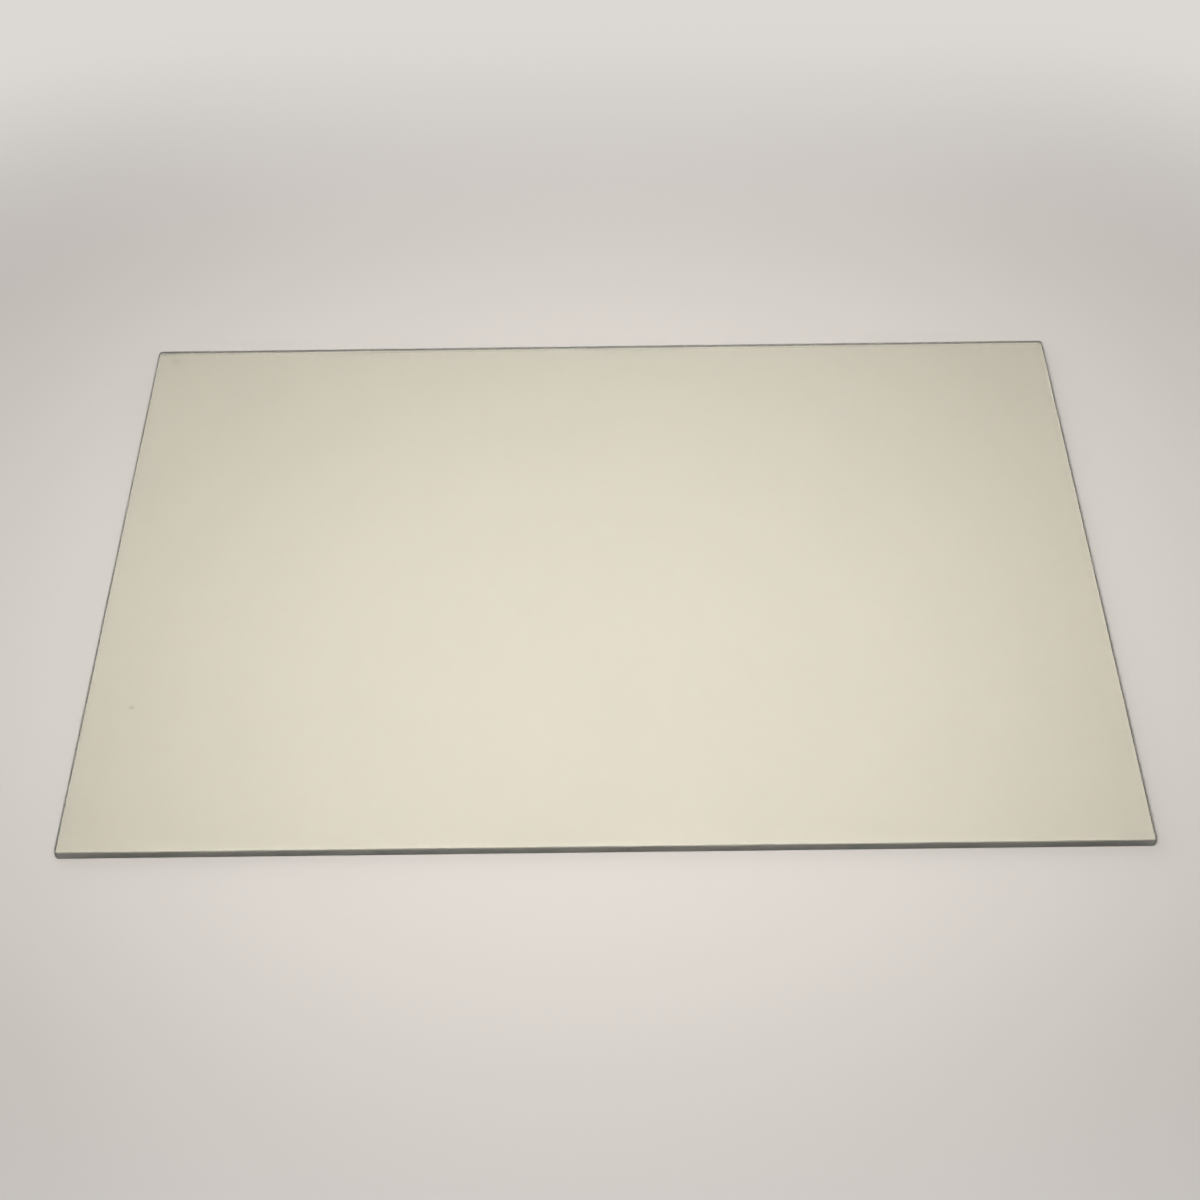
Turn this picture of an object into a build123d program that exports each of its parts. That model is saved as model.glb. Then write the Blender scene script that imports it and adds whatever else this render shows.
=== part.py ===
"""Inner glass of an oven door: one sheet of toughened float glass.

The sheet is cut to a rectangle and its corners are blunted to a small radius.
Its edge is ground all round: a flat land in the middle, with a 45 degree arris
between the land and each broad face.

The sheet lies on its underside, with +X along the door's width, +Y along the
door's height and +Z through the thickness. The origin is the middle of the
underside. Sizes are in millimetres.
"""

import os

from build123d import *

# Driving dimensions
PANE_WIDTH = 470.0
PANE_HEIGHT = 350.0
PANE_THICKNESS = 4.0

# Edge work
CORNER_RADIUS = 2.0
ARRIS_WIDTH = 0.4


# The cut sheet, with its corners blunted and its edge ground
with BuildPart() as inner_glass:
    with BuildSketch(Plane.XY) as cut_outline:
        RectangleRounded(PANE_WIDTH, PANE_HEIGHT, CORNER_RADIUS)
    extrude(amount=PANE_THICKNESS)

    broad_faces = inner_glass.faces().filter_by(Axis.Z)
    chamfer(broad_faces.edges(), length=ARRIS_WIDTH)

inner_glass.part.label = "inner_glass"


# One file for each piece
os.makedirs("parts", exist_ok=True)
export_step(inner_glass.part, "parts/inner_glass.step")
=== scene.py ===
"""Looks of an oven door's inner glass: one sheet of toughened float glass on a pale table.

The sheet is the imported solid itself, in one glass material: polished faces with a faint
warm tint and a few small marks, and a ground edge with fine grinding lines. The rest is the
table, the light and the camera. Lengths are in metres and angles in degrees, unless a name
or a comment says otherwise.
"""

import math

import bpy
from mathutils import Matrix, Vector


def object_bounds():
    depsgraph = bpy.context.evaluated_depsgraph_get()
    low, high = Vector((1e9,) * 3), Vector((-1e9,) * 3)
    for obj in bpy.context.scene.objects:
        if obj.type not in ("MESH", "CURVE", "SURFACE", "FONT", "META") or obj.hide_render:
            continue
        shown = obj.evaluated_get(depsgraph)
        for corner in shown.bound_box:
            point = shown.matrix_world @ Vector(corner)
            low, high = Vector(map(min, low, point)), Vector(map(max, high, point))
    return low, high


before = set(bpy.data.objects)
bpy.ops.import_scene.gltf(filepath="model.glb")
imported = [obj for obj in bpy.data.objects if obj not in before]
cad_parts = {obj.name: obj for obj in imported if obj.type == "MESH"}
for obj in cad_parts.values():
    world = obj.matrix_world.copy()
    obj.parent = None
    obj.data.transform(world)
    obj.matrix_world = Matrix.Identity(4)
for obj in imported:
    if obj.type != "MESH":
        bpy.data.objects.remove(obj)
cad_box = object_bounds()

GLASS_NODE = "inner_glass"

# Glass: the tint of its two faces, and the colour that light takes on inside it
GLASS_IOR = 1.52
FACE_TINT = (0.955, 0.951, 0.887, 1.0)
BODY_COLOUR = (0.80, 0.88, 0.80, 1.0)
BODY_DENSITY = 1.6

# Small marks on the upper face: place across and along the sheet, radius, and depth from 0 to 1
MARKS = (
    (-0.2133, -0.0892, 0.0021, 0.26),
    (0.0937, -0.1092, 0.0012, 0.12),
    (-0.2037, -0.1495, 0.0010, 0.12),
    (-0.1846, 0.0735, 0.0014, 0.09),
    (-0.2247, 0.1659, 0.0050, 0.12),
)
MARK_COLOUR = (0.0, 0.0, 0.0, 1.0)

# Grain: noise drawn out along the edge, which shows as lines left by the wheel on the ground
# edge and, above a threshold, as faint smudges on the faces
GRAIN_SCALE = Vector((70.0, 70.0, 4500.0))
GRAIN_DETAIL = 2.0
SMUDGE_FROM = 0.66
SMUDGE_TO = 0.85
SMUDGE_ROUGHNESS = 0.10

# Ground edge: all that faces up or down less than the two polished faces do. It is a little darker along
# the grinding lines, and towards the corners it is darkened by painted shade
FACE_UPRIGHT = 0.9
EDGE_TINT = (1.0, 1.0, 0.98, 1.0)
EDGE_SHADE = 0.06
CORNER_PAINTED_SHADE = 0.32
CORNER_PAINTED_SHADE_REACH = 0.032
EDGE_ROUGHNESS_LOW = 0.74
EDGE_ROUGHNESS_HIGH = 0.86

# Table
TABLE_COLOUR = (0.766, 0.728, 0.696, 1.0)
TABLE_ROUGHNESS = 0.6
TABLE_SIZE = 40.0
TABLE_GAP = 0.0002

# Backdrop: the table fades into it between two distances from the sheet's outline, and above
# the horizon it fades into the sky between two elevations
BACKDROP_COLOUR = (0.72, 0.692, 0.665, 1.0)
BACKDROP_FROM = 0.06
BACKDROP_TO = 0.36
BACKDROP_LOW = 18.0
BACKDROP_HIGH = 30.0

# Sky: even and brighter at the horizon, with a soft window on the left and a glow behind the
# sheet. A turn is to the left of +Y, and a reach is how far from its middle a light ends
WORLD_COLOUR = (1.0, 0.985, 0.965, 1.0)
WORLD_STRENGTH = 0.16
HORIZON_STRENGTH = 0.25
HORIZON_REACH = 30.0
WINDOW_ELEVATION = 8.0
WINDOW_TURN = 50.0
WINDOW_REACH = 50.0
WINDOW_STRENGTH = 1.1
GLOW_ELEVATION = 47.5
GLOW_TURN = 0.0
GLOW_REACH = 15.0
GLOW_STRENGTH = 0.85

# Lamp: a round one above the viewer. It fades from its core to its rim, which are given from
# its middle in shares of its width, and its power is in watts
KEY_PLACE = Vector((-0.07, -0.45, 0.85))
KEY_AIM = Vector((0.02, 0.115, 0.0))
KEY_SIZE = 1.0
KEY_MIDDLE = (0.5, 0.5, 0.0)
KEY_CORE = 0.05
KEY_RIM = 0.5
KEY_SPREAD = 72.0
KEY_POWER = 5.73
KEY_COLOUR = (1.0, 0.985, 0.96)

# Light paths: no softening of the light that the glass lets through, and enough bounces
# for the light that runs inside the sheet to reach the edge
GLASS_BOUNCES = 64

# Camera: its place, and its pitch below the horizon, yaw to the right and roll to the right
CAMERA_PLACE = Vector((0.0029, -0.8363, 0.7729))
CAMERA_PITCH = 43.364
CAMERA_YAW = -0.293
CAMERA_ROLL = 0.901
CAMERA_LENS_MM = 71.175
SENSOR_WIDTH_MM = 36.0


def add_node(tree, kind, inputs=None, **settings):
    """Adds a node: settings are its properties, and inputs are values to set or sockets to link."""
    made = tree.nodes.new(kind)
    for name, value in settings.items():
        setattr(made, name, value)
    for key, value in (inputs or {}).items():
        if isinstance(value, bpy.types.NodeSocket):
            tree.links.new(value, made.inputs[key])
        else:
            made.inputs[key].default_value = value
    return made


def add_math(tree, operation, *values):
    """Adds a Math node and returns its result."""
    return add_node(tree, "ShaderNodeMath", dict(enumerate(values)), operation=operation).outputs[0]


def add_vector_math(tree, operation, *values):
    """Adds a Vector Math node and returns its vector."""
    made = add_node(tree, "ShaderNodeVectorMath", dict(enumerate(values)), operation=operation)
    return made.outputs["Vector"]


def measure(tree, operation, *values):
    """Adds a Vector Math node whose result is a number, such as a distance, and returns it."""
    made = add_node(tree, "ShaderNodeVectorMath", dict(enumerate(values)), operation=operation)
    return made.outputs["Value"]


def soft_step(tree, value, first, at_first, last, at_last):
    """Goes softly from one result, where the value is at first, to another, where it is at last."""
    inputs = {"Value": value, "From Min": first, "To Min": at_first, "From Max": last, "To Max": at_last}
    made = add_node(tree, "ShaderNodeMapRange", inputs, interpolation_type="SMOOTHSTEP")
    return made.outputs["Result"]


def mix_colour(tree, factor, first, second):
    """A blend of two colours."""
    inputs = {"Factor": factor, "A": first, "B": second}
    return add_node(tree, "ShaderNodeMix", inputs, data_type="RGBA").outputs["Result"]


def mix_shaders(tree, factor, first, second):
    """A blend of two shader nodes."""
    inputs = {0: factor, 1: first.outputs[0], 2: second.outputs[0]}
    return add_node(tree, "ShaderNodeMixShader", inputs).outputs[0]


def new_material(name):
    """An empty node material and its tree."""
    material = bpy.data.materials.new(name)
    material.use_nodes = True
    material.node_tree.nodes.clear()
    return material, material.node_tree


def edge_mask(tree):
    """1 on the ground edge, that is the land and both arrises, and 0 on the two polished faces."""
    normal = add_node(tree, "ShaderNodeNewGeometry").outputs["True Normal"]
    upright = add_node(tree, "ShaderNodeSeparateXYZ", {"Vector": normal}).outputs["Z"]
    upright = add_math(tree, "ABSOLUTE", upright)
    return add_math(tree, "LESS_THAN", upright, FACE_UPRIGHT)


def grain_noise(tree, place):
    """Noise drawn out along the sheet, from 0 to 1."""
    drawn_out = add_node(tree, "ShaderNodeMapping", {"Vector": place, "Scale": GRAIN_SCALE})
    inputs = {"Vector": drawn_out.outputs["Vector"], "Scale": 1.0, "Detail": GRAIN_DETAIL}
    return add_node(tree, "ShaderNodeTexNoise", inputs).outputs["Fac"]


def mark_mask(tree, place):
    """How far the small marks darken the upper face, from 0 to 1."""
    total = 0.0
    for across, along, radius, depth in MARKS:
        distance = measure(tree, "DISTANCE", place, (across, along, cad_box[1].z))
        total = add_math(tree, "ADD", total, soft_step(tree, distance, 0.0, depth, radius, 0.0))
    return total


def edge_grain_and_painted_shade(tree, place, grain):
    """How far the ground edge is darkened, from 0 to 1: a little along its grinding lines, and by
    painted shade towards the corners.
    """
    off_corner = measure(tree, "DISTANCE", add_vector_math(tree, "ABSOLUTE", place), cad_box[1])
    # painted shade: the ground edge is darkened towards each corner
    corner = soft_step(tree, off_corner, 0.0, CORNER_PAINTED_SHADE, CORNER_PAINTED_SHADE_REACH, 0.0)
    return add_math(tree, "MULTIPLY_ADD", grain, EDGE_SHADE, corner)


def glass_material():
    """Toughened float glass: polished tinted faces with a few marks, and a satin ground edge with
    painted shade towards its corners.
    """
    material, tree = new_material("door_glass")
    place = add_node(tree, "ShaderNodeTexCoord").outputs["Object"]
    edge = edge_mask(tree)
    grain = grain_noise(tree, place)

    face_tint = mix_colour(tree, mark_mask(tree, place), FACE_TINT, MARK_COLOUR)
    # the edge colour carries the grinding lines and the painted shade at the corners
    edge_tint_and_painted_shade = mix_colour(tree, edge_grain_and_painted_shade(tree, place, grain), EDGE_TINT, MARK_COLOUR)
    face_roughness = soft_step(tree, grain, SMUDGE_FROM, 0.0, SMUDGE_TO, SMUDGE_ROUGHNESS)
    edge_roughness = soft_step(tree, grain, 0.0, EDGE_ROUGHNESS_LOW, 1.0, EDGE_ROUGHNESS_HIGH)
    inputs = {"Factor": edge, "A": face_roughness, "B": edge_roughness}
    roughness = add_node(tree, "ShaderNodeMix", inputs).outputs["Result"]
    glass = add_node(
        tree,
        "ShaderNodeBsdfPrincipled",
        {
            "Base Color": mix_colour(tree, edge, face_tint, edge_tint_and_painted_shade),
            "Roughness": roughness,
            "IOR": GLASS_IOR,
            "Transmission Weight": 1.0,
        },
    )
    body = add_node(
        tree,
        "ShaderNodeVolumeAbsorption",
        {"Color": BODY_COLOUR, "Density": BODY_DENSITY},
    )
    add_node(
        tree,
        "ShaderNodeOutputMaterial",
        {"Surface": glass.outputs[0], "Volume": body.outputs[0]},
    )
    return material


def distance_from_sheet(tree):
    """How far a place on the table is outside the sheet's outline."""
    place = add_node(tree, "ShaderNodeTexCoord").outputs["Object"]
    beyond = add_vector_math(tree, "ABSOLUTE", place)
    beyond = add_vector_math(tree, "SUBTRACT", beyond, cad_box[1])
    beyond = add_vector_math(tree, "MAXIMUM", beyond, (0.0, 0.0, 0.0))
    return measure(tree, "LENGTH", beyond)


def table_material():
    """A plain pale table top that runs out into the backdrop, for what the camera and the glass see."""
    material, tree = new_material("table_top")
    top = add_node(
        tree,
        "ShaderNodeBsdfPrincipled",
        {"Base Color": TABLE_COLOUR, "Roughness": TABLE_ROUGHNESS},
    )
    backdrop = add_node(tree, "ShaderNodeEmission", {"Color": BACKDROP_COLOUR, "Strength": 1.0})

    away = soft_step(tree, distance_from_sheet(tree), BACKDROP_FROM, 0.0, BACKDROP_TO, 1.0)
    path = add_node(tree, "ShaderNodeLightPath").outputs
    seen = add_math(tree, "MAXIMUM", path["Is Camera Ray"], path["Is Glossy Ray"])
    seen = add_math(tree, "MAXIMUM", seen, path["Is Transmission Ray"])
    mixed = mix_shaders(tree, add_math(tree, "MULTIPLY", away, seen), top, backdrop)
    add_node(tree, "ShaderNodeOutputMaterial", {"Surface": mixed})
    return material


def add_table():
    """The plane that the sheet lies on, a hair below it so that the two faces don't coincide."""
    half = TABLE_SIZE / 2
    low = cad_box[0].z - TABLE_GAP
    corners = [(-half, -half, low), (half, -half, low), (half, half, low), (-half, half, low)]
    mesh = bpy.data.meshes.new("table_top")
    mesh.from_pydata(corners, [], [(0, 1, 2, 3)])
    mesh.materials.append(table_material())
    table = bpy.data.objects.new("table_top", mesh)
    bpy.context.scene.collection.objects.link(table)


def glow(tree, direction, elevation, turn, reach, strength):
    """A soft glow on the sky: its elevation, its turn to the left of +Y, its reach and its strength."""
    height = math.radians(elevation)
    side = math.radians(turn)
    middle = (-math.cos(height) * math.sin(side), math.cos(height) * math.cos(side), math.sin(height))
    nearness = measure(tree, "DOT_PRODUCT", direction, middle)
    return soft_step(tree, nearness, math.cos(math.radians(reach)), 0.0, 1.0, strength)


def sky_strength(tree, direction, height):
    """How bright the sky is: an even part, a bright horizon, a window and a glow behind the sheet."""
    high = math.sin(math.radians(HORIZON_REACH))
    strength = soft_step(tree, height, 0.0, WORLD_STRENGTH + HORIZON_STRENGTH, high, WORLD_STRENGTH)
    window = glow(tree, direction, WINDOW_ELEVATION, WINDOW_TURN, WINDOW_REACH, WINDOW_STRENGTH)
    strength = add_math(tree, "ADD", strength, window)
    behind = glow(tree, direction, GLOW_ELEVATION, GLOW_TURN, GLOW_REACH, GLOW_STRENGTH)
    return add_math(tree, "ADD", strength, behind)


def add_world():
    """Soft light from all round, and low down the backdrop that the camera and mirror images see."""
    world = bpy.data.worlds.new("studio")
    world.use_nodes = True
    tree = world.node_tree
    tree.nodes.clear()
    direction = add_node(tree, "ShaderNodeTexCoord").outputs["Generated"]
    height = add_node(tree, "ShaderNodeSeparateXYZ", {"Vector": direction}).outputs["Z"]
    strength = sky_strength(tree, direction, height)
    sky = add_node(tree, "ShaderNodeBackground", {"Color": WORLD_COLOUR, "Strength": strength})
    backdrop = add_node(tree, "ShaderNodeBackground", {"Color": BACKDROP_COLOUR, "Strength": 1.0})

    low = math.sin(math.radians(BACKDROP_LOW))
    high = math.sin(math.radians(BACKDROP_HIGH))
    lowness = soft_step(tree, height, low, 1.0, high, 0.0)
    path = add_node(tree, "ShaderNodeLightPath").outputs
    mirrored = add_math(tree, "SUBTRACT", path["Is Glossy Ray"], path["Is Transmission Ray"])
    seen = add_math(tree, "MAXIMUM", path["Is Camera Ray"], mirrored)
    mixed = mix_shaders(tree, add_math(tree, "MULTIPLY", lowness, seen), sky, backdrop)
    add_node(tree, "ShaderNodeOutputWorld", {"Surface": mixed})
    bpy.context.scene.world = world


def add_key_light():
    """A soft lamp above the viewer. Its beam fades away from the sheet, whose face doesn't mirror it."""
    data = bpy.data.lights.new("key", "AREA")
    data.shape = "DISK"
    data.size = KEY_SIZE
    data.spread = math.radians(KEY_SPREAD)
    data.energy = KEY_POWER
    data.color = KEY_COLOUR
    data.use_nodes = True
    tree = data.node_tree
    tree.nodes.clear()
    place = add_node(tree, "ShaderNodeNewGeometry").outputs["Parametric"]
    off_middle = measure(tree, "DISTANCE", place, KEY_MIDDLE)
    strength = soft_step(tree, off_middle, KEY_CORE, 1.0, KEY_RIM, 0.0)
    glowing = add_node(tree, "ShaderNodeEmission", {"Strength": strength})
    add_node(tree, "ShaderNodeOutputLight", {"Surface": glowing.outputs[0]})
    key = bpy.data.objects.new("key", data)
    key.location = KEY_PLACE
    key.rotation_euler = (KEY_AIM - KEY_PLACE).to_track_quat("-Z", "Y").to_euler()
    key.visible_glossy = False
    bpy.context.scene.collection.objects.link(key)


def set_light_paths():
    """Lets the light through the glass as it is."""
    paths = bpy.context.scene.cycles
    paths.blur_glossy = 0.0
    paths.max_bounces = GLASS_BOUNCES
    paths.transmission_bounces = GLASS_BOUNCES


def add_camera():
    """The photograph's viewpoint."""
    data = bpy.data.cameras.new("camera")
    data.lens = CAMERA_LENS_MM
    data.sensor_width = SENSOR_WIDTH_MM
    camera = bpy.data.objects.new("camera", data)
    turn = (
        Matrix.Rotation(-math.radians(CAMERA_YAW), 4, "Z")
        @ Matrix.Rotation(math.radians(90 - CAMERA_PITCH), 4, "X")
        @ Matrix.Rotation(-math.radians(CAMERA_ROLL), 4, "Z")
    )
    camera.matrix_world = Matrix.Translation(CAMERA_PLACE) @ turn
    bpy.context.scene.collection.objects.link(camera)
    bpy.context.scene.camera = camera


def dress_glass():
    """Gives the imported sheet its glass."""
    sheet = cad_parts[GLASS_NODE]
    sheet.data.materials.clear()
    sheet.data.materials.append(glass_material())


dress_glass()
add_table()
add_world()
add_key_light()
set_light_paths()
add_camera()
bpy.context.scene.view_settings.view_transform = "Standard"
